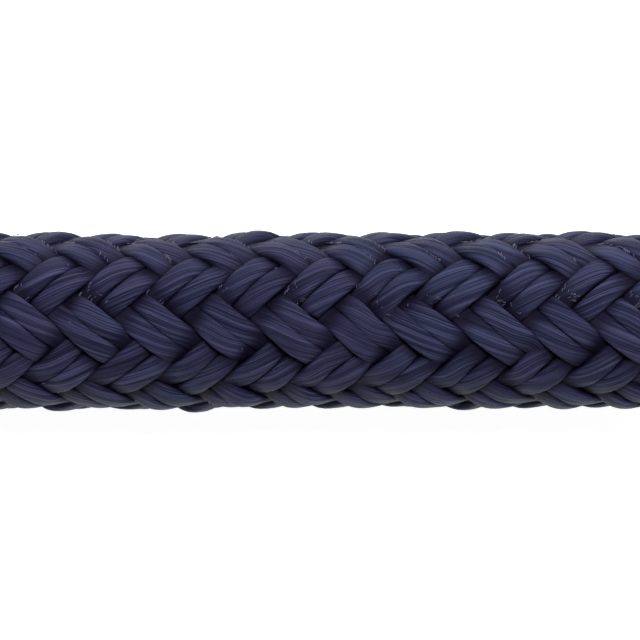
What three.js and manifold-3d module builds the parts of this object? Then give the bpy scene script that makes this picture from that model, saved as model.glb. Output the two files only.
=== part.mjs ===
// A double-braid nylon dock line, stowed as a tied hank: the hank's turns, a straight tail with its
// whipped and heat-sealed end, and a spliced eye that lies on the hank.
// Millimetres, +Z up. The line rests on z = 0, and the origin is below the middle of the whole part.
import * as THREE from "three";
import { mergeVertices } from "three/addons/utils/BufferGeometryUtils.js";
import Module from "manifold-3d";

// The line
const ROPE_D = 12.7;
const ROPE_R = ROPE_D / 2;
const CORE_R = 4.3;
const GAP = 0.3;

// The hank: two turns side by side in each layer, each layer shifted to nest on the one below
const STRAIGHT = 99.4;
const LAYERS = 5;
const NEST_SHIFT = 0.3 * ROPE_D;
const LAYER_RISE = Math.sqrt(ROPE_D ** 2 - NEST_SHIFT ** 2);
const INNER_TURN_R = 2.5 * ROPE_D;
const OUTER_TURN_R = INNER_TURN_R + ROPE_D;
const HOLLOW_R = INNER_TURN_R - ROPE_R;
const HANK_R = OUTER_TURN_R + NEST_SHIFT + ROPE_R;
const HANK_HEIGHT = ROPE_D + (LAYERS - 1) * LAYER_RISE;
const BEND_X = STRAIGHT / 2;

// The tail: it goes on straight where the lowest outer turn starts its bend
const TAIL_LENGTH = 123;
const TIP_LENGTH = 3.4;
const WHIPPING_LENGTH = 12.7;
const WHIPPING_PAST = 1.6;
const TWINE_D = 0.9;

// The ties round each side of the hank
const TIE_WIDTH = 6.4;
const TIE_THICKNESS = 1.5;
const TIE_X = -8;
const TIE_CORNER_R = 7;

// What lies on top of the hank
const TOP_Z = HANK_HEIGHT + GAP + ROPE_R;

// The origin is below the middle of the part, so the hank lies to its left
const HANK_X = (HANK_R + BEND_X - (BEND_X + TAIL_LENGTH)) / 2;

const TUBE_SIDES = 12;
const BEND_SEGMENTS = 18;
const LATHE_SEGMENTS = 32;

const wasm = await Module();
wasm.setup();

// A closed geometry as a solid to cut and join, and back
function toSolid(geometry) {
  const bare = geometry.index ? geometry.toNonIndexed() : geometry.clone();
  bare.deleteAttribute("normal");
  bare.deleteAttribute("uv");
  const merged = mergeVertices(bare, 1e-4);
  return new wasm.Manifold(new wasm.Mesh({
    numProp: 3,
    vertProperties: new Float32Array(merged.attributes.position.array),
    triVerts: new Uint32Array(merged.index.array),
  }));
}

function toGeometry(solid) {
  const { vertProperties, triVerts } = solid.getMesh();
  const geometry = new THREE.BufferGeometry();
  geometry.setAttribute("position", new THREE.BufferAttribute(vertProperties, 3));
  geometry.setIndex(new THREE.BufferAttribute(triVerts, 1));
  geometry.computeVertexNormals();
  return geometry;
}

// Materials
const navyNylon = new THREE.MeshStandardMaterial({ color: 0x2c3049, roughness: 0.5, metalness: 0 });
const coreNylon = new THREE.MeshStandardMaterial({ color: 0xe4e3dc, roughness: 0.6, metalness: 0 });
const meltedNylon = new THREE.MeshStandardMaterial({ color: 0x17192a, roughness: 0.3, metalness: 0 });
const waxedTwine = new THREE.MeshStandardMaterial({ color: 0xd9d5c6, roughness: 0.55, metalness: 0 });

const line = new THREE.Group();

function add(name, geometry, material) {
  const mesh = new THREE.Mesh(geometry, material);
  mesh.name = name;
  line.add(mesh);
  return mesh;
}

// A flat outline with straight sides and round ends, seen from above
function racetrack(radius, path = new THREE.Shape()) {
  path.moveTo(-BEND_X, -radius);
  path.lineTo(BEND_X, -radius);
  path.absarc(BEND_X, 0, radius, -Math.PI / 2, Math.PI / 2, false);
  path.lineTo(-BEND_X, radius);
  path.absarc(-BEND_X, 0, radius, Math.PI / 2, 1.5 * Math.PI, false);
  return path;
}

// A rectangle with round corners about a middle, in the plane that the ties lie in
function roundedBox(width, height, corner, middle, path = new THREE.Shape()) {
  const [x, y] = [width / 2, height / 2];
  const [cx, cy] = middle;
  const round = (sx, sy, from) =>
    path.absarc(cx + sx * (x - corner), cy + sy * (y - corner), corner, from, from + Math.PI / 2, false);
  path.moveTo(cx - x + corner, cy - y);
  round(1, -1, -Math.PI / 2);
  round(1, 1, 0);
  round(-1, 1, Math.PI / 2);
  round(-1, -1, Math.PI);
  return path;
}

// A band round one side of the hank; grow widens it on every face, to cut its seat
function tieBand(side, grow = 0) {
  const width = HANK_R - HOLLOW_R;
  const middle = [side * (HOLLOW_R + width / 2), HANK_HEIGHT / 2];
  const inner = TIE_THICKNESS + grow;
  const outline = roundedBox(width + (grow ? 2 : 0), HANK_HEIGHT + (grow ? 2 : 0), TIE_CORNER_R, middle);
  outline.holes.push(roundedBox(
    width - 2 * inner, HANK_HEIGHT - 2 * inner, TIE_CORNER_R - TIE_THICKNESS, middle, new THREE.Path()));
  const band = new THREE.ExtrudeGeometry(outline, {
    depth: TIE_WIDTH + 2 * grow, bevelEnabled: false, curveSegments: 5,
  });
  // The outline's x and y become the world's y and z, and its depth runs along x
  band.rotateX(Math.PI / 2);
  band.rotateZ(Math.PI / 2);
  band.translate(TIE_X - TIE_WIDTH / 2 - grow, 0, 0);
  return band;
}

function hankTurns() {
  const outline = racetrack(HANK_R);
  outline.holes.push(racetrack(HOLLOW_R, new THREE.Path()));
  const body = new THREE.ExtrudeGeometry(outline, {
    depth: HANK_HEIGHT, bevelEnabled: false, curveSegments: BEND_SEGMENTS,
  });
  let solid = toSolid(body);
  for (const side of [-1, 1]) {
    solid = solid.subtract(toSolid(tieBand(side, GAP)));
  }
  return toGeometry(solid);
}

// A solid of revolution along +X from a closed or axis-to-axis profile of [x, radius] points
function turned(profile) {
  const points = profile.map(([x, radius]) => new THREE.Vector2(radius, x));
  const geometry = new THREE.LatheGeometry(points, LATHE_SEGMENTS);
  geometry.rotateZ(-Math.PI / 2);
  return geometry;
}

// Moves a piece made along +X from x = 0 to where the tail lies
function onTail(geometry) {
  geometry.translate(BEND_X, -OUTER_TURN_R, ROPE_R);
  return geometry;
}

// The tail's pieces stop short of the hank's round end
function clearOfHank(geometry) {
  const depth = HANK_HEIGHT + ROPE_D;
  const wall = new THREE.ExtrudeGeometry(racetrack(HANK_R + GAP), {
    depth, bevelEnabled: false, curveSegments: BEND_SEGMENTS,
  });
  wall.translate(0, 0, -ROPE_R);
  return toGeometry(toSolid(geometry).subtract(toSolid(wall)));
}

// A round tube along a smooth curve through points
function tube(points, steps) {
  const section = new THREE.Shape();
  section.absarc(0, 0, ROPE_R, 0, 2 * Math.PI, false);
  return new THREE.ExtrudeGeometry(section, {
    steps,
    curveSegments: TUBE_SIDES,
    bevelEnabled: false,
    extrudePath: new THREE.CatmullRomCurve3(points.map(([x, y]) => new THREE.Vector3(x, y, TOP_Z))),
  });
}

// A solid through oval sections [x, y, half width, half height], each square to the way on and with
// its underside on the hank's top; inset draws its surface in
function oval(sections, inset = 0) {
  const sides = 2 * TUBE_SIDES;
  const positions = [];
  const indices = [];
  sections.forEach(([x, y, halfWidth, halfHeight], i) => {
    const [ax, ay] = sections[Math.max(i - 1, 0)];
    const [bx, by] = sections[Math.min(i + 1, sections.length - 1)];
    const length = Math.hypot(bx - ax, by - ay);
    const across = [-(by - ay) / length, (bx - ax) / length];
    for (let k = 0; k < sides; k += 1) {
      const angle = (2 * Math.PI * k) / sides;
      const out = (halfWidth - inset) * Math.cos(angle);
      const up = (halfHeight - inset) * Math.sin(angle);
      positions.push(x + out * across[0], y + out * across[1], TOP_Z - ROPE_R + halfHeight + up);
    }
  });
  const last = (sections.length - 1) * sides;
  for (let i = 0; i < sections.length - 1; i += 1) {
    for (let k = 0; k < sides; k += 1) {
      const a = i * sides + k;
      const b = i * sides + ((k + 1) % sides);
      indices.push(a, b, a + sides, b, b + sides, a + sides);
    }
  }
  for (let k = 1; k < sides - 1; k += 1) {
    indices.push(0, k + 1, k, last, last + k, last + k + 1);
  }
  const geometry = new THREE.BufferGeometry();
  geometry.setAttribute("position", new THREE.BufferAttribute(new Float32Array(positions), 3));
  geometry.setIndex(indices);
  geometry.computeVertexNormals();
  return geometry;
}

// The hank and its ties
add("hank_turns", hankTurns(), navyNylon);
add("tie_front", tieBand(-1), waxedTwine);
add("tie_back", tieBand(1), waxedTwine);

// The tail: a braided cover round a braided core, drawn in under the whipping, and melted at the end
const WAIST_R = ROPE_R - TWINE_D - GAP;
const whippingEnd = TAIL_LENGTH - TIP_LENGTH - WHIPPING_PAST;
const whippingStart = whippingEnd - WHIPPING_LENGTH;
const coverEnd = TAIL_LENGTH - TIP_LENGTH;
add("tail_cover", clearOfHank(onTail(turned([
  [0, CORE_R + GAP],
  [0, ROPE_R],
  [whippingStart - 2 * TWINE_D, ROPE_R],
  [whippingStart - GAP, WAIST_R],
  [whippingEnd + GAP, WAIST_R],
  [coverEnd, WAIST_R + TWINE_D / 2],
  [coverEnd, CORE_R + GAP],
  [0, CORE_R + GAP],
]))), navyNylon);
add("tail_core", clearOfHank(onTail(turned([
  [0, 0],
  [0, CORE_R],
  [coverEnd, CORE_R],
  [coverEnd, 0],
]))), coreNylon);
add("end_whipping", onTail(turned([
  [whippingStart, WAIST_R + GAP],
  [whippingStart, ROPE_R],
  [whippingEnd, ROPE_R],
  [whippingEnd, WAIST_R + GAP],
  [whippingStart, WAIST_R + GAP],
])), waxedTwine);
const tipStart = coverEnd + GAP;
const tipR = WAIST_R + TWINE_D / 2;
add("sealed_end", onTail(turned([
  [tipStart, 0],
  [tipStart, tipR],
  [tipStart + 0.45 * TIP_LENGTH, tipR],
  [tipStart + 0.8 * TIP_LENGTH, 0.75 * tipR],
  [TAIL_LENGTH, 0.35 * tipR],
  [TAIL_LENGTH, 0],
])), meltedNylon);

// The last turn climbs onto the hank at its right end and runs to the splice
const TOP_TURN = [
  [73.4, -25.1], [62, -32.8], [48.25, -35.6], [32, -35.6], [16, -35.6], [0, -35.6], [-16, -35.6],
  [-32, -35.6], [-48.25, -35.6], [-62, -32.8], [-73.4, -25.1], [-81.4, -12.6],
];
add("top_turn", tube(TOP_TURN, 20), navyNylon);

// The splice's throat: the cover swallows its own buried end, so it is thickest where the eye's legs
// part. A whipping holds it, and draws it in by the twine's thickness.
const THROAT = [
  [-83.0, -9.0, ROPE_R, ROPE_R],
  [-83.4, 0, ROPE_R + 0.6, ROPE_R + 0.3],
  [-81.3, 10.5, ROPE_R + 1.3, ROPE_R + 0.6],
  [-76.0, 19.3, ROPE_R + 2.4, ROPE_R + 0.8],
  [-69.5, 25.6, ROPE_R + 4.4, ROPE_R + 0.7],
  [-60.0, 30.6, 2 * ROPE_R, ROPE_R],
];
const BAND_FROM = -5;
const BAND_TO = 8;

// The space across the throat between two places along y
function slab(from, to) {
  const box = new THREE.BoxGeometry(6 * ROPE_D, to - from, 4 * ROPE_D);
  box.translate(THROAT[1][0], (from + to) / 2, TOP_Z);
  return toSolid(box);
}

const throat = toSolid(oval(THROAT));
const underTwine = (inset) => toSolid(oval(THROAT, inset));
const seat = slab(BAND_FROM - GAP, BAND_TO + GAP).subtract(underTwine(TWINE_D + GAP));
add("splice_throat", toGeometry(throat.subtract(seat)), navyNylon);
add("throat_whipping", toGeometry(
  throat.intersect(slab(BAND_FROM, BAND_TO)).subtract(underTwine(TWINE_D))), waxedTwine);

// The eye: both legs leave the throat side by side, and the crown rests on the hank's right bend
const EYE = [
  [-58.6, 38.2], [-47, 42.2], [-28, 46], [0, 47.4], [32, 47.5], [62, 47.5], [77.5, 43.3], [88.8, 32],
  [93, 16.5], [88.8, 1], [77.5, -10.3], [62, -14.5], [46, -13.2], [28, -6.5], [8, 3.5], [-13, 13.5],
  [-34, 20.5], [-52.8, 24.6],
];
add("eye_loop", tube(EYE, 30), navyNylon);

line.position.set(HANK_X, 0, 0);
const part = new THREE.Group();
part.add(line);

export default part;
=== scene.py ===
import math

import bpy
import numpy as np
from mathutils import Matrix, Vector


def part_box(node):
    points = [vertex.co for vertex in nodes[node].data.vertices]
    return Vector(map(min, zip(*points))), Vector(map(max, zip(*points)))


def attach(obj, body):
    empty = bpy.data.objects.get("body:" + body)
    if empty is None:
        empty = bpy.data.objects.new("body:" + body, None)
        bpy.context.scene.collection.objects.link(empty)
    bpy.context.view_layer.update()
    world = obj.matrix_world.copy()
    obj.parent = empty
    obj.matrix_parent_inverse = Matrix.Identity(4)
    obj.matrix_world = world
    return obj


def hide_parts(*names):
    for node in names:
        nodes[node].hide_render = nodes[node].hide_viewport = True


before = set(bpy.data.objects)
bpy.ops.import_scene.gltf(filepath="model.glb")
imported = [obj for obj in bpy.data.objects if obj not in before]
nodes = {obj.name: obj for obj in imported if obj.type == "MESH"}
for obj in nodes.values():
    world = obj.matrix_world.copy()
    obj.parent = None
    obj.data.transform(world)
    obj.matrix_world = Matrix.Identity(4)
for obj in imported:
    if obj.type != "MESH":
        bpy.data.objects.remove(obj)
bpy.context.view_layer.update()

MM = 0.001
RNG = np.random.default_rng(24)

# The line
ROPE_D = 12.7 * MM
ROPE_R = ROPE_D / 2
INNER_TURN = 2.5            # radius of the innermost turns, in diameters
NEST_SHIFT = 0.3            # how far each layer is shifted on the one below, in diameters
LAYERS = 5
STEP_TURNS = 0.105          # the part of a turn in which the line moves to its next place
FIRST_STEP_ENDS = 0.87      # turns: where the first of these moves ends

# The braid: pairs of strands, half of them turning each way round
PERIOD = 0.3755 * ROPE_D    # along the line, from one float to the next in a row
PAIRS = 6                   # turning each way
ROW = math.pi / PAIRS       # rows of floats lie this far apart round the line
FLOAT_SHARE = 0.75          # of the period, along the line
FLOAT_SLOPE = 0.86          # how far a float goes round the line for its length along it
STRAND_W = 1.60 * MM
STRAND_T = 0.86 * MM
STRAND_SQUARE = 4.4         # the power of the flattened oval that a strand's section is
STRAND_APART = 0.49         # from a pair's middle to each strand's, in widths of a strand
STRAND_PINCH = 0.12         # how much narrower a strand is at its lowest
STRAND_FOLLOW = 0.8         # how much of the line's own roundness a strand's face takes
WEAVE_DEPTH = 0.52 * MM     # half the height between a strand's highest and lowest places
WEAVE_STEEP = 1.1           # the power that sharpens a strand's dive from its highest place
WEAVE_ROLL = math.radians(6.6)
WEAVE_PHASE = -0.40         # where the floats lie along the line, in periods
WEAVE_LEAN = 0.60 * MM      # how far a ring of floats leans along the line, either way
WEAVE_SPREAD = 0.08         # the rows lie a little farther apart on top, closer below
WEAVE_SPREAD_AT = 0.14      # radians from the top to where they are farthest apart
WEAVE_TWIST = 2.3           # radians a metre: the rows run slowly round the line
STRAY_EVERY = 2.2 * MM      # a strand strays from its path this often, sideways and in height
STRAY_SIDE = 0.06 * MM
STRAY_HEIGHT = 0.16
FIBRE_LEAN = math.tan(math.radians(20))
RIDGES = ((5, 0.5), (8, -0.4), (11, 0.3))   # ridges round a strand, and how fast each set drifts
RIDGE_HEIGHT = 0.0055 * MM
CREASE_DEPTH = 0.9 * MM     # below the surface, where the crease attribute reaches 1
RELIEF_ALONG = 10           # points of the relief in a period
RELIEF_ROUND = 16           # points of the relief in two rows

# Painted glints: the filaments are coloured lighter than the nylon and put on the side that faces the key
# light
# Loose filaments: on one family they stand at the low ends of its floats, on the other along an edge
LOW_END_FAMILY = 1
LOW_END_PLACES = (-42, -8)      # degrees round the line from the top
HIGH_EDGE_PLACES = (-76, -36)
FILAMENT_R = 0.022 * MM
FILAMENT_LENGTH = (0.08 * MM, 0.22 * MM)
FILAMENT_TRIES = 30000

# The small stuff
TWINE_D = 0.9 * MM
TWINE_STEP = 0.24 * MM
MELT_LENGTH = 3.4 * MM
WAIST = 1.2 * MM            # how far the whipping draws the cover in
LAST_BEND = math.radians(78)    # how far the top turn runs round its last bend, to the throat
TIE_REACH = 16 * MM         # the ties draw the turns together over this length
TIE_PULL_IN, TIE_PULL_DOWN = 0.13, 0.062

# Where things are, from the frame
HANK_LOW, HANK_HIGH = (np.array(c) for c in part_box("hank_turns"))
HANK_X = float(HANK_LOW[0] + HANK_HIGH[0]) / 2
HANK_R = float(HANK_HIGH[1] - HANK_LOW[1]) / 2
BEND_X = float(HANK_HIGH[0] - HANK_LOW[0]) / 2 - HANK_R
TOP_LOW, TOP_HIGH = (np.array(c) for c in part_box("top_turn"))
TOP_Z = float(TOP_LOW[2] + TOP_HIGH[2]) / 2
TIP_X = float(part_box("sealed_end")[1][0])
TAIL_LENGTH = TIP_X - HANK_X - BEND_X
TAIL_Y = -(INNER_TURN + 1) * ROPE_D
TIE_X = float(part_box("tie_front")[0][0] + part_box("tie_front")[1][0]) / 2

# What the photograph shows: this many diameters of the tail, just past the hank's end
VIEW_W = 3.605 * ROPE_D
VIEW_GAP = 2.6 * MM
VIEW_X = float(HANK_HIGH[0]) + VIEW_GAP + VIEW_W / 2
CAMERA_AWAY = 0.36
CAMERA_ASIDE = 0.04 * MM


# ---------------------------------------------------------------- routes

def on_tail(along):
    """A point of the tail's axis, this far past the place where it leaves the hank."""
    return np.array([HANK_X + BEND_X + along, TAIL_Y, ROPE_R])


def turn_places():
    """Each turn's radius and height in the hank, in diameters, from the lowest outer turn up."""
    rise = math.sqrt(1 - NEST_SHIFT ** 2)
    places = []
    for layer in range(LAYERS):
        inner = INNER_TURN + NEST_SHIFT * (layer % 2)
        pair = [(inner + 1, layer * rise), (inner, layer * rise)]
        places += pair if layer % 2 == 0 else pair[::-1]
    return places + [(places[-1][0] + NEST_SHIFT, (TOP_Z - ROPE_R) / ROPE_D)]


def place_at(turns, places):
    """The radius and height after so many turns; the line rolls over its neighbour to its next place."""
    now = np.array(places[0], float)
    for i in range(1, len(places)):
        start = i - 1 + FIRST_STEP_ENDS - i * STEP_TURNS
        if turns <= start:
            break
        share = min(1.0, (turns - start) / STEP_TURNS)
        share = share * share * (3 - 2 * share)
        a, b = np.array(places[i - 1]), np.array(places[i])
        if i == 1:
            now = a + (b - a) * share
            continue
        pivot = np.array(places[i - 2])
        angles = [math.atan2(*(p - pivot)[::-1]) for p in (a, b)]
        reach = [float(np.hypot(*(p - pivot))) for p in (a, b)]
        angle = angles[0] + (angles[1] - angles[0]) * share
        far = reach[0] + (reach[1] - reach[0]) * share
        now = pivot + far * np.array([math.cos(angle), math.sin(angle)])
    return now * ROPE_D


def on_hank(turns, places):
    """A point of the hank's line: it runs towards -X in front, round, and back behind."""
    radius, height = place_at(turns, places)
    middle = 3 * ROPE_D
    along = (turns % 1) * (4 * BEND_X + 2 * math.pi * middle)
    bend = math.pi * middle
    if along < 2 * BEND_X:
        x, y = BEND_X - along, -radius
    elif along < 2 * BEND_X + bend:
        angle = -math.pi / 2 - (along - 2 * BEND_X) / middle
        x, y = -BEND_X + radius * math.cos(angle), radius * math.sin(angle)
    elif along < 4 * BEND_X + bend:
        x, y = -3 * BEND_X - bend + along, radius
    else:
        angle = math.pi / 2 - (along - 4 * BEND_X - bend) / middle
        x, y = BEND_X + radius * math.cos(angle), radius * math.sin(angle)
    return np.array([HANK_X + x, y, ROPE_R + height])


# The throat's middle line and the eye, listed and the same as in the CAD source: millimetres from the middle
# of the hank
THROAT = [(-83.0, -9.0), (-83.4, 0), (-81.3, 10.5), (-76.0, 19.3), (-69.5, 25.6), (-60.0, 30.6)]
THROAT_SIZES = [(6.35, 6.35), (6.95, 6.65), (7.65, 6.95), (8.75, 7.15), (10.75, 7.05), (12.7, 6.35)]
EYE = [
    (-58.6, 38.2), (-47, 42.2), (-28, 46), (0, 47.4), (32, 47.5), (62, 47.5), (77.5, 43.3), (88.8, 32),
    (93, 16.5), (88.8, 1), (77.5, -10.3), (62, -14.5), (46, -13.2), (28, -6.5), (8, 3.5), (-13, 13.5),
    (-34, 20.5), (-52.8, 24.6),
]


def unit(vectors):
    """Each row at length 1."""
    return vectors / np.linalg.norm(vectors, axis=1)[:, None]


def distances(points):
    """How far along a polyline each of its points is."""
    return np.concatenate([[0], np.cumsum(np.linalg.norm(np.diff(points, axis=0), axis=1))])


def through(points, step):
    """A Catmull-Rom curve through points, as a polyline."""
    p = np.asarray(points, float)
    p = np.vstack([2 * p[0] - p[1], p, 2 * p[-1] - p[-2]])
    out = []
    for a, b, c, d in zip(p, p[1:], p[2:], p[3:]):
        n = max(2, int(np.linalg.norm(c - b) / step))
        t = (np.arange(n) / n)[:, None]
        out.append(0.5 * (2 * b + (c - a) * t + (2 * a - 5 * b + 4 * c - d) * t ** 2
                          + (3 * b - a - 3 * c + d) * t ** 3))
    return np.vstack(out + [p[-2:-1]])


def evened(points, step):
    """The polyline at even steps."""
    far = distances(points)
    at = np.linspace(0, far[-1], max(2, int(round(far[-1] / step)) + 1))
    return np.stack([np.interp(at, far, points[:, k]) for k in range(3)], 1)


def smoothed(points, within):
    """The polyline, evened first, averaged over about that many points each side."""
    kernel = np.hanning(2 * within + 3)[1:-1]
    kernel /= kernel.sum()
    ends = [2 * points[0] - points[within:0:-1], points, 2 * points[-1] - points[-2:-within - 2:-1]]
    padded = np.vstack(ends)
    return np.stack([np.convolve(padded[:, k], kernel, "valid") for k in range(3)], 1)


def wander(count, every, size):
    """A smooth random wander with that many points between its changes, 0 on average."""
    knots = RNG.normal(0, size, (count // every + 4, 3))
    at = np.arange(count) / every
    i = at.astype(int)
    t = (at - i)[:, None]
    t = t * t * (3 - 2 * t)
    return knots[i] * (1 - t) + knots[i + 1] * t


def hank_route():
    """The whole line from its tip to the splice's throat, as even points."""
    step = 0.5 * MM
    tail = np.array([on_tail(a) for a in np.arange(TAIL_LENGTH, 0, -step)])
    places = turn_places()
    turn = 4 * BEND_X + 2 * math.pi * 3 * ROPE_D
    last = len(places) - 2 + (2 * BEND_X + LAST_BEND * 3 * ROPE_D) / turn
    turns = np.arange(0, last, step / turn)
    coil = np.array([on_hank(t, places) for t in turns])
    throat = through([(HANK_X + x * MM, y * MM, TOP_Z) for x, y in THROAT[:2]], step)
    points = evened(np.vstack([tail, coil, throat[2:]]), step)
    points = smoothed(points, 16)
    coiled = np.clip((np.arange(len(points)) * step - TAIL_LENGTH) / 0.1, 0, 1)[:, None]
    points += wander(len(points), 90, 0.22 * MM) * coiled + wander(len(points), 22, 0.09 * MM)
    # The ties draw the turns together
    for side in (-1, 1):
        middle = np.array([side * (HANK_R + (INNER_TURN - 0.5) * ROPE_D) / 2, HANK_HIGH[2] / 2])
        near = (points[:, 1] * side > 0) & (points[:, 2] < HANK_HIGH[2])
        pull = np.exp(-((points[:, 0] - TIE_X) / TIE_REACH) ** 2) * near
        points[:, 1] -= pull * TIE_PULL_IN * (points[:, 1] - middle[0])
        points[:, 2] -= pull * TIE_PULL_DOWN * (points[:, 2] - middle[1])
    points[:, 2] = np.maximum(points[:, 2], ROPE_R)
    return evened(points, step)


def eye_route(places):
    """The eye, from one side of the throat to the other. The leg that crosses the hollow sags a little."""
    sag, sag_middle, sag_reach = 2.2 * MM, HANK_X - 6 * MM, 46 * MM
    points = through([(HANK_X + x * MM, y * MM, TOP_Z) for x, y in places], 0.5 * MM)
    over_hollow = np.clip(1 - ((points[:, 0] - sag_middle) / sag_reach) ** 2, 0, 1)
    points[:, 2] -= sag * (over_hollow * (points[:, 1] < 30 * MM)) ** 2
    return evened(smoothed(evened(points, 0.5 * MM), 8), 0.5 * MM)


def frames(points):
    """Two directions across a line at each of its points, without twist. The first starts upright."""
    ahead = unit(np.gradient(points, axis=0))
    first = np.zeros_like(points)
    one = np.array([0.0, 0.0, 1.0])
    for i, t in enumerate(ahead):
        one = one - t * (one @ t)
        one /= np.linalg.norm(one)
        first[i] = one
    return first, np.cross(first, ahead)


class Course:
    """A cord's middle line: its points, how far along each is, and two directions across it."""

    def __init__(self, points):
        self.points = points
        self.s = distances(points)
        self.across = frames(points)
        self.length = float(self.s[-1])

    def at(self, s):
        """The points and both directions across at distances s."""
        return [np.stack([np.interp(s, self.s, a[:, k]) for k in range(3)], -1)
                for a in (self.points, *self.across)]


LINE = Course(hank_route())
VIEW_S = TAIL_LENGTH - (VIEW_X - HANK_X - BEND_X)
HERO_END = TAIL_LENGTH - (float(HANK_HIGH[0]) - 22 * MM - HANK_X - BEND_X)


# ---------------------------------------------------------------- camera

def add_camera():
    """Straight above the tail, with the frame as wide as the view."""
    data = bpy.data.cameras.new("camera")
    camera = bpy.data.objects.new("camera", data)
    bpy.context.scene.collection.objects.link(camera)
    data.sensor_width = 36
    data.lens = data.sensor_width * CAMERA_AWAY / VIEW_W
    data.clip_start = 0.01
    data.clip_end = 30
    on_axis = LINE.at(VIEW_S)[0]
    camera.location = (VIEW_X, float(on_axis[1]) + CAMERA_ASIDE, ROPE_R + CAMERA_AWAY)
    bpy.context.scene.camera = camera


add_camera()


# ---------------------------------------------------------------- the braid

def strand_period():
    """One period of a pair's path: along the line, round it as a length at the surface, and height."""
    samples, blur = 480, 0.09
    half = FLOAT_SHARE * PERIOD / 2
    rise = half * FLOAT_SLOPE
    row = ROW * ROPE_R
    along = np.array([-half, half, PERIOD - half])
    round_ = np.array([-rise, rise, 2 * row - rise])
    far = np.concatenate([[0], np.cumsum(np.hypot(np.diff(along), np.diff(round_)))])
    at = np.arange(samples) / samples * far[-1]
    path = []
    for values, whole in ((along, PERIOD), (round_, 2 * row)):
        v = np.interp(at, far, values)
        n = int(blur * samples)
        kernel = np.hanning(n + 2)[1:-1]
        kernel /= kernel.sum()
        v3 = np.concatenate([v - whole, v, v + whole])
        path.append(np.convolve(v3, kernel, "same")[samples:2 * samples])
    # Highest half way along the float, lowest half way along the pass under
    top, under = far[1] / 2, far[1] + (far[2] - far[1]) / 2
    phase = np.interp(at, [0, top, far[1], under, far[2]], [-0.5, 0, 0.5, 1, 1.5]) * math.pi
    height = np.cos(phase)
    height = np.sign(height) * np.abs(height) ** WEAVE_STEEP
    return path[0], path[1], height, at, far[-1]


ALONG, ROUND, HEIGHT, TRAVEL, TRAVEL_WHOLE = strand_period()


def strand(turn, pair, side, s0, s1, step, loose=True):
    """A strand's middle line over [s0, s1] of the line: s, angle round, height from -1 to 1, travel."""
    first = int(math.floor((s0 - PERIOD) / PERIOD)) - 1
    last = int(math.ceil((s1 + PERIOD) / PERIOD)) + 1
    n = np.arange(first, last)
    s = (ALONG[None] + PERIOD * n[:, None]).ravel()
    c = (ROUND[None] + 2 * ROW * ROPE_R * n[:, None]).ravel()
    h = np.tile(HEIGHT, len(n))
    u = (TRAVEL[None] + TRAVEL_WHOLE * n[:, None]).ravel()
    # The other family's floats lie half a period on and one row round
    s = s + (0.5 * PERIOD if turn > 0 else 0)
    travel = np.arange(int(u[0] / step) + 1, int(u[-1] / step)) * step
    s, c, h = (np.interp(travel, u, v) for v in (s, c, h))
    ds, dc = np.gradient(s), np.gradient(c)
    size = np.hypot(ds, dc)
    every = max(2, int(STRAY_EVERY / step))
    stray = wander(len(travel), every, 1.0) if loose else np.zeros((len(travel), 3))
    offset = side * STRAND_W * STRAND_APART + STRAY_SIDE * stray[:, 0]
    s = s - offset * dc / size
    c = c + offset * ds / size
    angle = turn * c / ROPE_R + pair * 2 * ROW + (ROW if turn > 0 else 0) + WEAVE_ROLL
    inside = (s >= s0) & (s <= s1)
    return s[inside], angle[inside], (h + STRAY_HEIGHT * stray[:, 1])[inside], travel[inside]


def slipped(s, angle):
    """Where the cover's points lie once it has slipped and turned a little on the core."""
    turned = angle - WEAVE_TWIST * (s - VIEW_S)
    return s - WEAVE_LEAN * np.sin(turned), turned + WEAVE_SPREAD * np.sin(turned - WEAVE_SPREAD_AT)


# The line's distance runs from the tip, against +X
S_SHIFT = (VIEW_S - WEAVE_PHASE * PERIOD) % PERIOD


def radius_at(s):
    """How the whipping and the seal draw the braid in, as a factor."""
    whip_high = TAIL_LENGTH - (float(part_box("end_whipping")[0][0]) - HANK_X - BEND_X)
    waist = (ROPE_R - WAIST) / ROPE_R
    soft = 0.55 * MM
    return waist + (1 - waist) / (1 + np.exp(-(s - whip_high - WAIST) / soft))


# ---------------------------------------------------------------- meshes

def link(name, vertices, quads, uv=None, ngons=(), extra_uv=None):
    """A mesh object from arrays: quads, then a few polygons of any size."""
    mesh = bpy.data.meshes.new(name)
    quads = np.asarray(quads, np.int32)
    mesh.vertices.add(len(vertices))
    mesh.vertices.foreach_set("co", np.asarray(vertices, np.float32).ravel())
    loops = np.concatenate([quads.ravel()] + [np.asarray(g, np.int32) for g in ngons])
    sizes = np.concatenate([np.full(len(quads), 4, np.int32), np.array([len(g) for g in ngons], np.int32)])
    starts = np.concatenate([[0], np.cumsum(sizes)[:-1]]).astype(np.int32)
    mesh.loops.add(len(loops))
    mesh.loops.foreach_set("vertex_index", loops)
    mesh.polygons.add(len(sizes))
    mesh.polygons.foreach_set("loop_start", starts)
    mesh.polygons.foreach_set("use_smooth", np.full(len(sizes), True))
    mesh.update(calc_edges=True)
    for layer, values in (("fibre", uv), ("OFBake", extra_uv)):
        if values is not None:
            values = np.vstack([np.asarray(values, np.float32).reshape(-1, 2),
                                np.zeros((len(loops) - quads.size, 2), np.float32)])
            mesh.uv_layers.new(name=layer).data.foreach_set("uv", values.ravel())
    mesh.validate()
    obj = bpy.data.objects.new(name, mesh)
    bpy.context.scene.collection.objects.link(obj)
    return obj


def add_crease(obj, depth):
    """How deep in the weave each point lies, for the material's painted crease shade."""
    crease = obj.data.attributes.new("crease", "FLOAT", "POINT")
    crease.data.foreach_set("value", np.clip(depth / CREASE_DEPTH, 0, 1).astype(np.float32).ravel())


def turn_round(sides):
    """Angles of a section's points."""
    return np.arange(sides) / sides * 2 * math.pi


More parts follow.
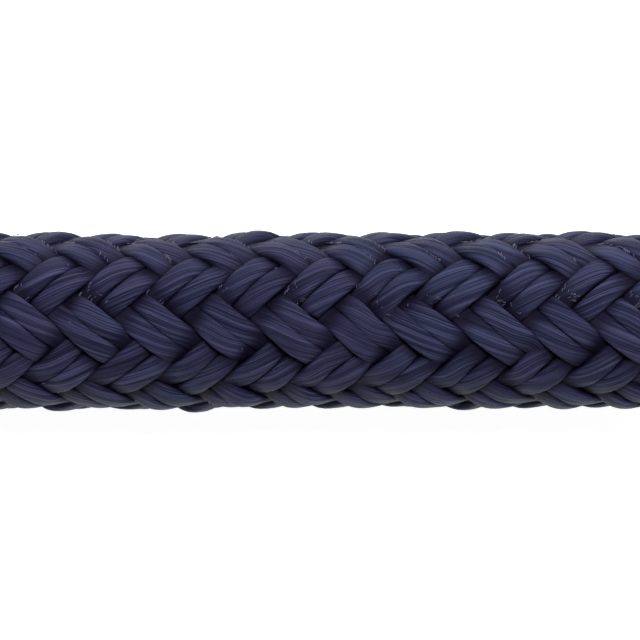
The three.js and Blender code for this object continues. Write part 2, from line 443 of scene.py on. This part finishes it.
def tube_quads(rings, sides, start=0):
    """Quads of a tube whose vertices run round each ring in turn, and its two ends."""
    i = np.arange(rings - 1)[:, None] * sides
    j = np.arange(sides)[None]
    k = (j + 1) % sides
    quads = np.stack([i + j, i + k, i + sides + k, i + sides + j], -1).reshape(-1, 4) + start
    ends = [start + np.arange(sides)[::-1], start + (rings - 1) * sides + np.arange(sides)]
    return quads, ends


def tube_uv(u, v):
    """Loop UVs for tube_quads: u for each ring, v for each side and one more to close it."""
    i, j = np.arange(len(u) - 1)[:, None], np.arange(len(v) - 1)[None]
    corners = [(i, j), (i, j + 1), (i + 1, j + 1), (i + 1, j)]
    return np.stack([np.stack(np.broadcast_arrays(u[a], v[b]), -1) for a, b in corners], 2).reshape(-1, 2)


def strips_uv(rings, sides, strips, number=0, count=1):
    """Loop UVs of a tube of flipped quads, cut into strips one above another, in its share of the square."""
    per = math.ceil((rings - 1) / strips)
    i = np.arange(rings - 1)
    strip, along = i // per, (i % per) / per
    closed = np.arange(sides + 1) / sides
    corners = [(0, 0), (0, 1), (1, 1), (1, 0)]
    u = np.stack([np.broadcast_to((along + a / per)[:, None], (len(i), sides)) for a, _ in corners], 2)
    v = np.stack([(strip[:, None] + 0.03 + 0.94 * closed[None, b:sides + b]) / strips
                  for _, b in corners], 2)
    uv = np.stack([0.001 + 0.998 * u, (number + v) / count], 3)
    return uv.reshape(-1, 4, 2)[:, ::-1].reshape(-1, 2)


def strand_section(sides):
    """A strand's section, wide along x: points at even steps from the underside, and ways out."""
    t = np.linspace(-0.5 * math.pi, 1.5 * math.pi, 2001)
    power = 2 / STRAND_SQUARE
    oval = np.stack([np.sign(f) * np.abs(f) ** power * half for f, half in
                     ((np.cos(t), STRAND_W / 2), (np.sin(t), STRAND_T / 2))], 1)
    far = distances(oval)
    at = np.arange(sides) / sides * far[-1]
    points = np.stack([np.interp(at, far, oval[:, k]) for k in (0, 1)], 1)
    ways = np.roll(points, -1, 0) - np.roll(points, 1, 0)
    ways = np.stack([ways[:, 1], -ways[:, 0]], 1)
    return points, unit(ways), far[-1]


def strand_rings(course, s, angle, high, ridges, section, ways):
    """The sections along a strand, and how far each point lies below the cover's surface."""
    shrink = radius_at(s)
    middle, up, out = course.at(s)
    dir_out = up * np.cos(angle)[:, None] + out * np.sin(angle)[:, None]
    radius = (ROPE_R - STRAND_T / 2 - WEAVE_DEPTH + WEAVE_DEPTH * high) * shrink
    centre = middle + dir_out * radius[:, None]
    ahead = unit(np.gradient(centre, axis=0))
    normal = unit(dir_out - ahead * (dir_out * ahead).sum(1)[:, None])
    flat = np.cross(ahead, normal)
    narrow = shrink * (1 - STRAND_PINCH * np.clip(-high, 0, 1))
    w = section[None, :, 0] * narrow[:, None] + ridges * ways[None, :, 0]
    t = section[None, :, 1] + ridges * ways[None, :, 1]
    t = t - w ** 2 / (2 * ROPE_R) * STRAND_FOLLOW
    rings = centre[:, None] + flat[:, None] * w[..., None] + normal[:, None] * t[..., None]
    return rings, ROPE_R * shrink[:, None] - np.linalg.norm(rings - middle[:, None], axis=2)


def strands_mesh(name, course, s0, s1, material):
    """Every strand of the cover over [s0, s1], woven."""
    step, sides = 0.24 * MM, 28
    vertices, quads, ends, uvs, bake, deep = [], [], [], [], [], []
    start = 0
    section, ways, girth = strand_section(sides)
    closed = np.arange(sides + 1) / sides
    strands = [(turn, pair, side) for turn in (-1, 1) for pair in range(PAIRS) for side in (-1, 1)]
    for count, (turn, pair, side) in enumerate(strands):
        s, angle, high, travel = strand(turn, pair, side, s0 - S_SHIFT, s1 - S_SHIFT, step)
        s, angle = slipped(s + S_SHIFT, angle)
        # Filaments lean, so ridges and streaks run round the strand as it travels
        lean = turn * travel * FIBRE_LEAN / girth
        twisted = turn_round(sides)[None] + 2 * math.pi * lean[:, None]
        phase = RNG.uniform(0, 6.28, len(RIDGES))
        ridges = RIDGE_HEIGHT * sum(np.sin(number * twisted + travel[:, None] * drift / MM + shift)
                                    for (number, drift), shift in zip(RIDGES, phase))
        rings, depth = strand_rings(course, s, angle, high, ridges, section, ways)
        vertices.append(rings.reshape(-1, 3))
        deep.append(depth.ravel())
        q, e = tube_quads(len(s), sides, start)
        quads.append(q)
        ends += e
        start += len(s) * sides
        uv = tube_uv(travel / MM, closed * girth / MM)
        leans = np.stack([lean[:-1], lean[:-1], lean[1:], lean[1:]], 1)
        uv[:, 1] += np.repeat(leans[:, None], sides, 1).reshape(-1) * girth / MM
        uvs.append(uv + [40 * count, 17 * count])
        bake.append(tube_uv((travel - travel[0]) / (travel[-1] - travel[0]) * 0.998 + 0.001,
                            (count + 0.04 + 0.92 * closed) / len(strands)))
    obj = link(name, np.vstack(vertices), np.vstack(quads), np.vstack(uvs), ends, extra_uv=np.vstack(bake))
    add_crease(obj, np.concatenate(deep))
    obj.data.materials.append(material)
    return obj


def relief_cell():
    """The cover's outer surface over one period and two rows, as heights from the line's radius."""
    s = (np.arange(RELIEF_ALONG) / RELIEF_ALONG) * PERIOD
    c = (np.arange(RELIEF_ROUND) / RELIEF_ROUND) * 2 * ROW
    best = np.full((RELIEF_ALONG, RELIEF_ROUND), -1.2 * MM)
    for turn in (-1, 1):
        for pair in range(-2, 3):
            for side in (-1, 1):
                ps, pa, ph, _ = strand(turn, pair, side, -2 * PERIOD, 3 * PERIOD, 0.1 * MM, loose=False)
                pa = pa - WEAVE_ROLL
                ahead = unit(np.stack([np.gradient(ps), np.gradient(pa) * ROPE_R], 1))
                near = (pa > -0.3) & (pa < 2 * ROW + 0.3) & (ps > -MM) & (ps < PERIOD + MM)
                for a, b, h, (ax, ay) in zip(ps[near], pa[near], ph[near], ahead[near]):
                    ds, dc = s[:, None] - a, (c[None] - b) * ROPE_R
                    aside = np.abs(dc * ax - ds * ay) / (STRAND_W / 2)
                    beside = (np.abs(ds * ax + dc * ay) < 0.09 * MM) & (aside < 1)
                    face = (1 - np.clip(aside, 0, 1) ** STRAND_SQUARE) ** (1 / STRAND_SQUARE)
                    top = -WEAVE_DEPTH + WEAVE_DEPTH * h - STRAND_T / 2 * (1 - face)
                    best = np.where(beside, np.maximum(best, top), best)
    return best


def relief_mesh(name, course, s0, s1, material, sizes=None, strips=10):
    """The cover as one closed skin with the weave's relief, over [s0, s1]. sizes may give half widths."""
    cell = relief_cell()
    step = PERIOD / RELIEF_ALONG
    first = math.ceil((s0 - S_SHIFT) / step)
    last = math.floor((s1 - S_SHIFT) / step)
    number = np.arange(first, last + 1)
    sides = RELIEF_ROUND * PAIRS
    angle = turn_round(sides) + WEAVE_ROLL
    height = np.tile(cell[number % RELIEF_ALONG], (1, PAIRS))
    s, angle = slipped((number * step + S_SHIFT)[:, None], angle[None])
    middle, up, out = course.at(np.clip(s, 0, course.length))
    radius = ROPE_R + height
    scale_w = scale_h = 1
    if sizes is not None:
        wide, high = sizes(s)
        scale_w, scale_h = wide / ROPE_R, high / ROPE_R
    ring = middle + up * (radius * np.cos(angle) * scale_h)[..., None] \
        + out * (radius * np.sin(angle) * scale_w)[..., None]
    quads, ends = tube_quads(len(number), sides)
    obj = link(name, ring.reshape(-1, 3), quads[:, ::-1], None, [e[::-1] for e in ends],
               extra_uv=strips_uv(len(number), sides, strips))
    add_crease(obj, -height)
    obj.data.materials.append(material)
    return obj


def twine_mesh(name, routes, material):
    """Lengths of three-ply twine along routes, as one piece."""
    vertices, quads, ends, bake = [], [], [], []
    sides, start = 10, 0
    around = turn_round(sides)
    for number, route in enumerate(routes):
        route = evened(route, TWINE_STEP)
        up, out = frames(route)
        along = np.arange(len(route))[:, None] * TWINE_STEP
        radius = TWINE_D / 2 * (1 + 0.10 * np.cos(3 * around[None] - along * 2.4 / MM))
        radius[[0, -1]] *= 0.5
        ring = route[:, None] + up[:, None] * (radius * np.cos(around))[..., None] \
            + out[:, None] * (radius * np.sin(around))[..., None]
        vertices.append(ring.reshape(-1, 3))
        q, e = tube_quads(len(route), sides, start)
        quads.append(q[:, ::-1])
        ends += [x[::-1] for x in e]
        start += len(route) * sides
        bake.append(strips_uv(len(route), sides, 12, number, len(routes)))
    obj = link(name, np.vstack(vertices), np.vstack(quads), None, ends, extra_uv=np.vstack(bake))
    obj.data.materials.append(material)
    return obj


# ---------------------------------------------------------------- materials

def material(name):
    """An empty material, its tree and its shader."""
    m = bpy.data.materials.new(name)
    m.use_nodes = True
    m.node_tree.nodes.clear()
    tree = m.node_tree
    out = tree.nodes.new("ShaderNodeOutputMaterial")
    shader = tree.nodes.new("ShaderNodeBsdfPrincipled")
    tree.links.new(shader.outputs[0], out.inputs["Surface"])
    return m, tree, shader


def node(tree, kind, inputs=None, **settings):
    """A node with its settings, its inputs linked or set."""
    n = tree.nodes.new(kind)
    for key, value in settings.items():
        setattr(n, key, value)
    for key, value in (inputs or {}).items():
        if isinstance(value, bpy.types.NodeSocket):
            tree.links.new(value, n.inputs[key])
        else:
            n.inputs[key].default_value = value
    return n


def ramp(tree, value, stops):
    """The colour at a value between stops."""
    n = node(tree, "ShaderNodeValToRGB", {0: value})
    while len(n.color_ramp.elements) < len(stops):
        n.color_ramp.elements.new(0.5)
    for element, (at, colour) in zip(n.color_ramp.elements, stops):
        element.position = at
        element.color = (*colour, 1)
    return n.outputs[0]


def fibre_uv(tree):
    """Places on a strand's face, laid along its filaments, in millimetres."""
    return node(tree, "ShaderNodeUVMap", uv_map="fibre").outputs[0]


def in_object(tree):
    """Places in the object's own frame."""
    return node(tree, "ShaderNodeTexCoord").outputs["Object"]


def mixed(tree, factor, a, b, blend_type="MIX"):
    """A mix of two colours, each a socket or a value."""
    n = node(tree, "ShaderNodeMix", {0: factor, 6: a, 7: b}, data_type="RGBA", blend_type=blend_type)
    return n.outputs[2]


# Streak colours: partly the filaments' own tone, partly painted fibre shade (the darkest) and painted sheen
# (the lightest)
NAVY_LIT = (0.076, 0.079, 0.164)
NAVY = (0.032, 0.034, 0.080)
NAVY_SHADED = (0.011, 0.011, 0.032)
# Painted shade: the colour the nylon takes where the weave lies deep, in its creases and at the floats'
# dipping ends
PAINTED_SHADE = (0.008, 0.006, 0.018)
CREASE_FULL = 0.68          # the depth, as a share of CREASE_DEPTH, from which that colour is all
HUE_SCALE = 210.0


def nylon(name, vector, scale, contrast, crease_from, bump_strength):
    """Satin navy nylon: streaks along the filaments, partly their own tone and partly painted shade and
    sheen, and painted shade down in the creases.
    """
    m, tree, shader = material(name)
    fine = node(tree, "ShaderNodeMapping", {"Vector": vector(tree), "Scale": scale})
    streak = node(tree, "ShaderNodeTexNoise",
                  {"Vector": fine.outputs[0], "Scale": 1.0, "Detail": 5.0, "Roughness": 0.68})
    broad = node(tree, "ShaderNodeTexNoise", {"Vector": fine.outputs[0], "Scale": 0.3, "Detail": 1.0})
    part = node(tree, "ShaderNodeMath", {0: broad.outputs[0], 1: 0.3}, operation="MULTIPLY")
    tone = node(tree, "ShaderNodeMath", {0: streak.outputs[0], 1: 0.7, 2: part.outputs[0]},
                operation="MULTIPLY_ADD")
    # Partly painted: the streaks' dark and light stops stand for shade and sheen on the filaments as well as
    # their tone
    colour = ramp(tree, tone.outputs[0],
                  [(0.5 - contrast, NAVY_SHADED), (0.5, NAVY), (0.5 + contrast, NAVY_LIT)])
    # The dye and the light it takes vary a little from place to place
    hue = node(tree, "ShaderNodeTexNoise", {"Vector": in_object(tree), "Scale": HUE_SCALE, "Detail": 1.0})
    cast = ramp(tree, hue.outputs[0], [(0.35, (0.95, 1.03, 1.02)), (0.65, (1.06, 0.98, 1.0))])
    tinted = mixed(tree, 1.0, colour, cast, "MULTIPLY")
    # Painted shade: the colour darkens where the weave lies deep, in its creases and at the floats' dipping
    # ends
    deep = node(tree, "ShaderNodeAttribute", attribute_name="crease")
    shade = node(tree, "ShaderNodeMapRange",
                 {0: deep.outputs["Fac"], 1: crease_from, 2: CREASE_FULL, 3: 0.0, 4: 1.0},
                 interpolation_type="SMOOTHSTEP")
    with_painted_shade = mixed(tree, shade.outputs[0], tinted, (*PAINTED_SHADE, 1))
    tree.links.new(with_painted_shade, shader.inputs["Base Color"])
    rough = node(tree, "ShaderNodeMapRange", {0: streak.outputs[0], 1: 0.3, 2: 0.7, 3: 0.34, 4: 0.52})
    tree.links.new(rough.outputs[0], shader.inputs["Roughness"])
    bump = node(tree, "ShaderNodeBump",
                {"Strength": bump_strength, "Distance": 0.10 * MM, "Height": streak.outputs[0]})
    tree.links.new(bump.outputs[0], shader.inputs["Normal"])
    shader.inputs["Specular IOR Level"].default_value = 0.07
    shader.inputs["Specular Tint"].default_value = (0.75, 0.78, 1.0, 1)
    return m


def plain(name, colour, roughness):
    """One colour with a fine grain."""
    m, tree, shader = material(name)
    grain = node(tree, "ShaderNodeTexNoise", {"Vector": in_object(tree), "Scale": 1200.0, "Detail": 3.0})
    shade = ramp(tree, grain.outputs[0], [(0.3, tuple(0.6 * c for c in colour)), (0.7, colour)])
    tree.links.new(shade, shader.inputs["Base Color"])
    shader.inputs["Roughness"].default_value = roughness
    bump = node(tree, "ShaderNodeBump", {"Strength": 0.3, "Distance": 0.1 * MM, "Height": grain.outputs[0]})
    tree.links.new(bump.outputs[0], shader.inputs["Normal"])
    return m


STRAND_NYLON = nylon("strand_nylon", fibre_uv, scale=(0.10, 9.5, 1), contrast=0.10, crease_from=0.12,
                     bump_strength=1.0)
RELIEF_NYLON = nylon("relief_nylon", in_object, scale=(2200, 2200, 2200), contrast=0.3, crease_from=0.2,
                     bump_strength=0.6)
TWINE = plain("waxed_twine", (0.62, 0.59, 0.50), roughness=0.55)
MELTED = plain("melted_nylon", (0.014, 0.014, 0.028), roughness=0.28)
# Painted glint: the loose filaments are lighter than the navy nylon they come from
FILAMENT_GLINT = plain("loose_filament", (0.15, 0.15, 0.26), roughness=0.35)
CORE = plain("core_nylon", (0.76, 0.75, 0.70), roughness=0.6)


# ---------------------------------------------------------------- pieces

TAIL_FROM = MELT_LENGTH - 0.3 * MM
tail = strands_mesh("tail_cover_strands", LINE, TAIL_FROM, HERO_END, STRAND_NYLON)
hank = relief_mesh("hank_cover", LINE, HERO_END - 1.0 * MM, LINE.length, RELIEF_NYLON)

# The eye's legs start inside the swollen throat
legs = [(-78, 20.0), (-69.0, 31.0)] + EYE + [(-64.0, 22.6), (-75.5, 16.5)]
EYE_LINE = Course(eye_route(legs))
eye = relief_mesh("eye_cover", EYE_LINE, 0, EYE_LINE.length, RELIEF_NYLON, strips=3)

throat_points = through([(HANK_X + x * MM, y * MM, TOP_Z - ROPE_R + high * MM)
                         for (x, y), (_, high) in zip(THROAT, THROAT_SIZES)], 0.5 * MM)
THROAT_LINE = Course(evened(throat_points, 0.5 * MM))
BAND_S = [float(np.interp(y, THROAT_LINE.points[:, 1], THROAT_LINE.s))
          for y in (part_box("throat_whipping")[k][1] for k in (0, 1))]


def throat_sizes(s):
    """Half width and half height of the throat: drawn in by its whipping, closing where the legs part."""
    far = distances(np.array(THROAT)) * MM
    far = far * THROAT_LINE.length / far[-1]
    wide, high = (np.interp(s, far, [size[k] * MM for size in THROAT_SIZES]) for k in (0, 1))
    end = np.sqrt(np.clip(1 - np.clip((s - THROAT_LINE.length + 7 * MM) / (7.2 * MM), 0, 1) ** 2, 0.02, 1))
    bound = 1 / (1 + np.exp(-(s - BAND_S[0]) / (0.4 * MM))) - 1 / (1 + np.exp(-(s - BAND_S[1]) / (0.4 * MM)))
    return (wide - bound * TWINE_D) * end, (high - bound * TWINE_D) * end


throat = relief_mesh("throat_cover", THROAT_LINE, 0, THROAT_LINE.length, RELIEF_NYLON,
                     sizes=throat_sizes, strips=2)


# ---------------------------------------------------------------- twine

def close_turns(s0, s1, tuck_depth):
    """Twine from s0 to s1: turns made so far, distance along, and how deep its ends are tucked."""
    turns = round((s1 - s0) / TWINE_D)
    t = np.linspace(0, turns, turns * 60)
    s = s0 + TWINE_D / 2 + (s1 - s0 - TWINE_D) * t / turns
    tuck = tuck_depth * (np.clip(0.25 - t, 0, 1) + np.clip(t - turns + 0.25, 0, 1)) * 4
    return t, s, tuck


def end_whipping():
    """The route of the twine round the line's end."""
    low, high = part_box("end_whipping")
    s0, s1 = (TAIL_LENGTH - (v[0] - HANK_X - BEND_X) for v in (high, low))
    t, s, tuck = close_turns(s0, s1, 0.9 * MM)
    reach = ROPE_R - TWINE_D / 2 + 0.03 * MM * np.sin(t * 5.1) * np.sin(t * 1.7)
    middle, up, out = LINE.at(s)
    angle = 2 * math.pi * t + 0.6
    return middle + (up * np.cos(angle)[:, None] + out * np.sin(angle)[:, None]) * (reach - tuck)[:, None]


def throat_whipping():
    """The route of the twine round the splice's throat, which is wider than it is high."""
    t, s, tuck = close_turns(*BAND_S, 0.8 * MM)
    wide, high = throat_sizes(s)
    middle, up, out = THROAT_LINE.at(s)
    angle = 2 * math.pi * t
    return middle + up * ((high + TWINE_D / 2 - tuck) * np.cos(angle))[:, None] \
        + out * ((wide + TWINE_D / 2 - tuck) * np.sin(angle))[:, None]


def hull(points):
    """The convex hull of points in a plane, anticlockwise."""
    points = sorted(map(tuple, points))
    chains = []
    for order in (points, points[::-1]):
        chain = []
        for p in order:
            while len(chain) > 1 and (chain[-1][0] - chain[-2][0]) * (p[1] - chain[-2][1]) \
                    <= (chain[-1][1] - chain[-2][1]) * (p[0] - chain[-2][0]):
                chain.pop()
            chain.append(p)
        chains += chain[:-1]
    return np.array(chains)


def overhand_knot(middle):
    """An overhand knot, its ends drawn out to either side."""
    t = np.linspace(0.35, 2 * math.pi - 0.35, 120)
    size = 0.85 * MM
    knot = np.stack([np.sin(t) + 2 * np.sin(2 * t), np.cos(t) - 2 * np.cos(2 * t), -0.9 * np.sin(3 * t)], 1)
    knot = knot * size + middle
    leads = [knot[0] - knot[1], knot[-1] - knot[-2]]
    ends = []
    for at, lead, wide in ((knot[0], leads[0], -1), (knot[-1], leads[1], 1)):
        lead = lead / np.linalg.norm(lead)
        ends.append(np.array([at + lead * 1.2 * MM,
                              at + lead * 2 * MM + np.array([wide * 2.4, 0.6, -0.5]) * MM,
                              at + lead * 2.2 * MM + np.array([wide * 6.0, 0.2 * wide, -0.7]) * MM]))
    return through(np.vstack([ends[0][::-1], knot[::6], ends[1]]), 0.2 * MM)


def tie(side):
    """Turns of twine round the bundle of turns on one side, tight on the outermost ones, and a knot."""
    x, y, z = LINE.points.T
    near = (np.abs(x - TIE_X) < 0.6 * MM) & (y * side > 0) & (z < HANK_HIGH[2]) & (LINE.s > HERO_END)
    around = np.linspace(0, 2 * math.pi, 48, endpoint=False)
    reach = ROPE_R + TWINE_D / 2 - 0.2 * MM
    outline = hull(np.vstack([LINE.points[near, 1:] + reach * np.array([math.cos(a), math.sin(a)])
                              for a in around]))
    outline[:, 1] = np.maximum(outline[:, 1], TWINE_D / 2)
    # The turns start on top, where the knot is
    knot_y = side * (HANK_R + (INNER_TURN - 0.5) * ROPE_D) / 2 + (-5 if side < 0 else -7) * MM
    start = int(np.argmin(np.hypot(outline[:, 0] - knot_y, outline[:, 1] - HANK_HIGH[2])))
    outline = np.roll(outline, -start, 0)
    closed = np.vstack([outline, outline[:1]])
    closed = evened(np.column_stack([np.zeros(len(closed)), closed]), 0.8 * MM)[:, 1:]
    lap = len(closed) - 1
    turns = round(float(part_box("tie_front")[1][0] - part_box("tie_front")[0][0]) / TWINE_D)
    i = np.arange(turns * lap + 1)
    x = TIE_X + (i / lap - turns / 2) * TWINE_D
    route = np.column_stack([x, closed[i % lap]])
    return [route, overhand_knot([TIE_X, knot_y, route[0][2] + TWINE_D * 1.25])]


whipping = twine_mesh("end_whipping_turns", [end_whipping()], TWINE)
band = twine_mesh("throat_whipping_turns", [throat_whipping()], TWINE)
ties = {name: twine_mesh(name + "_turns", tie(side), TWINE)
        for name, side in (("tie_front", -1), ("tie_back", 1))}


def melted_tip():
    """The cover and core melted together: a lumpy cap with a soft edge."""
    low, high = (np.array(c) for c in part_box("sealed_end"))
    reach = float(high[2] - low[2]) / 2
    length = float(high[0] - low[0])
    sides = 72
    around = turn_round(sides)
    profile = through([(0, 0.97, 0), (0.2, 1.0, 0), (0.45, 0.985, 0), (0.68, 0.90, 0), (0.85, 0.72, 0),
                       (0.95, 0.47, 0), (0.995, 0.16, 0)], 0.03)
    along, radius = profile[:, 0][:, None], profile[:, 1][:, None]
    lumps = 0.018 * np.sin(12 * around + 0.5) * (1 - along) \
        + 0.022 * np.sin(3 * around + 4 * along) \
        + 0.014 * np.sin(7 * around - 5 * along + 1)
    r = reach * radius * (0.955 + lumps)
    x = low[0] + length * (along + 0.02 * np.sin(4 * around + 2) * along * (1 - along))
    centre = LINE.at(0.0)[0]
    ring = np.stack([x, centre[1] + r * np.cos(around), centre[2] + r * np.sin(around)], -1)
    quads, ends = tube_quads(len(profile), sides)
    obj = link("melted_tip", ring.reshape(-1, 3), quads, None, ends)
    obj.data.materials.append(MELTED)
    return obj


tip = melted_tip()


def is_between(limits, angle):
    """Whether an angle round the line lies between limits in degrees from its top."""
    return limits[0] < math.degrees(math.remainder(angle, 2 * math.pi)) < limits[1]


def on_high_edge(turn, angle):
    """Whether a filament here stands along its strand's edge."""
    return turn != LOW_END_FAMILY and is_between(HIGH_EDGE_PLACES, angle)


def springs_out(turn, angle, high, falling):
    """Whether a filament has sprung out here: most are put on the side towards the key light, so that their
    light colour shows as painted glints.
    """
    if high > 0.85 or high < -0.1:
        return False
    low_end = turn == LOW_END_FAMILY and is_between(LOW_END_PLACES, angle) and falling and high < 0.5
    share = 1 if low_end else 0.5 if on_high_edge(turn, angle) else 0.01
    return RNG.random() <= share


def filament(s, angle, high, at_edge):
    """The middle line of a filament that lies along a strand and stands a little off its face."""
    t = np.linspace(0, 1, len(s))
    s, angle = slipped(s + S_SHIFT, angle)
    middle, up, out = LINE.at(s)
    dir_out = up * np.cos(angle)[:, None] + out * np.sin(angle)[:, None]
    lift = (-0.02 + RNG.uniform(0.01, 0.06) * np.sin(math.pi * t)) * MM
    radius = ROPE_R - WEAVE_DEPTH + WEAVE_DEPTH * np.clip(high, -1, 1) + lift
    centre = middle + dir_out * radius[:, None]
    aside = np.cross(unit(np.gradient(centre, axis=0)), dir_out)
    edge = RNG.uniform(0.40, 0.52) if at_edge else RNG.uniform(-0.5, 0.5)
    return centre + aside * (edge * STRAND_W + RNG.uniform(-0.04, 0.04) * MM * t)[:, None]


def loose_filaments(s0, s1):
    """Ends of filaments that have sprung out of the strands."""
    vertices, quads, ends = [], [], []
    step, rings, sides = 0.1 * MM, 7, 5
    around = turn_round(sides)
    strands = [(turn, strand(turn, pair, side, s0 - S_SHIFT, s1 - S_SHIFT, step))
               for turn in (-1, 1) for pair in range(PAIRS) for side in (-1, 1)]
    for _ in range(FILAMENT_TRIES):
        turn, (s, angle, high, _) = strands[RNG.integers(len(strands))]
        length = max(2, round(RNG.uniform(*FILAMENT_LENGTH) / step))
        i = int(RNG.integers(2, len(s) - length - 2))
        if not springs_out(turn, angle[i], high[i], high[i + 1] < high[i]):
            continue
        at_edge = on_high_edge(turn, angle[i])
        pick = np.linspace(i, i + length, rings)
        centre = filament(*(np.interp(pick, np.arange(len(v)), v) for v in (s, angle, high)), at_edge)
        up, out = frames(centre)
        ring = centre[:, None] + up[:, None] * (FILAMENT_R * np.cos(around))[None, :, None] \
            + out[:, None] * (FILAMENT_R * np.sin(around))[None, :, None]
        q, e = tube_quads(rings, sides, len(vertices) * rings * sides)
        vertices.append(ring.reshape(-1, 3))
        quads.append(q[:, ::-1])
        ends += [x[::-1] for x in e]
    bake = [strips_uv(rings, sides, 1, i, len(vertices)) for i in range(len(vertices))]
    obj = link("loose_filaments", np.vstack(vertices), np.vstack(quads), None, ends,
               extra_uv=np.vstack(bake))
    obj.data.materials.append(FILAMENT_GLINT)
    return obj


filaments = loose_filaments(20 * MM, HERO_END - 3 * MM)


# ---------------------------------------------------------------- in the frame


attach(filaments, "root")
nodes["tail_core"].data.materials.clear()
nodes["tail_core"].data.materials.append(CORE)
for obj, stands_for, slot in (
        (tail, ["tail_cover"], "cover_nylon"), (hank, ["hank_turns", "top_turn"], "cover_nylon"),
        (eye, ["eye_loop"], "cover_nylon"), (throat, ["splice_throat"], "cover_nylon"),
        (whipping, ["end_whipping"], "waxed_twine"), (band, ["throat_whipping"], "waxed_twine"),
        (ties["tie_front"], ["tie_front"], "waxed_twine"), (ties["tie_back"], ["tie_back"], "waxed_twine"),
        (tip, ["sealed_end"], "melted_nylon")):
    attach(obj, "root")
    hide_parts(*stands_for)


# ---------------------------------------------------------------- floor and light

def add_floor():
    """A wide pale floor that glows enough to be white behind the line."""
    reach = 14.0
    corners = [(-reach, -reach, 0), (reach, -reach, 0), (reach, reach, 0), (-reach, reach, 0)]
    mesh = bpy.data.meshes.new("floor")
    mesh.from_pydata(corners, [], [(0, 1, 2, 3)])
    floor = bpy.data.objects.new("floor", mesh)
    bpy.context.scene.collection.objects.link(floor)
    m, _, shader = material("pale_floor")
    shader.inputs["Base Color"].default_value = (0.6, 0.6, 0.6, 1)
    shader.inputs["Roughness"].default_value = 0.9
    shader.inputs["Emission Color"].default_value = (1, 1, 1, 1)
    shader.inputs["Emission Strength"].default_value = 0.95
    mesh.materials.append(m)


def add_area(name, place, target, size, watts):
    """A round soft light, turned to its target."""
    data = bpy.data.lights.new(name, "AREA")
    data.shape = "DISK"
    data.size = size
    data.energy = watts
    light = bpy.data.objects.new(name, data)
    bpy.context.scene.collection.objects.link(light)
    light.location = place
    light.rotation_euler = (Vector(target) - Vector(place)).to_track_quat("-Z", "Y").to_euler()


def add_world(horizon, overhead):
    """A pale studio: bright low down, like the floor, and dim overhead."""
    world = bpy.data.worlds.new("world")
    world.use_nodes = True
    tree = world.node_tree
    way = node(tree, "ShaderNodeSeparateXYZ", {0: node(tree, "ShaderNodeTexCoord").outputs["Generated"]})
    fade = node(tree, "ShaderNodeMapRange", {0: way.outputs["Z"], 1: 0.13, 2: 0.28, 3: horizon, 4: overhead},
                interpolation_type="SMOOTHSTEP")
    background = tree.nodes["Background"]
    background.inputs[0].default_value = (1, 1, 1, 1)
    tree.links.new(fade.outputs[0], background.inputs[1])
    bpy.context.scene.world = world


add_floor()
add_area("key", (0.22, 0.36, 0.90), (0.06, 0, 0), 0.4, 9.2)
add_world(0.8, 0.03)
bpy.context.scene.view_settings.view_transform = "Standard"
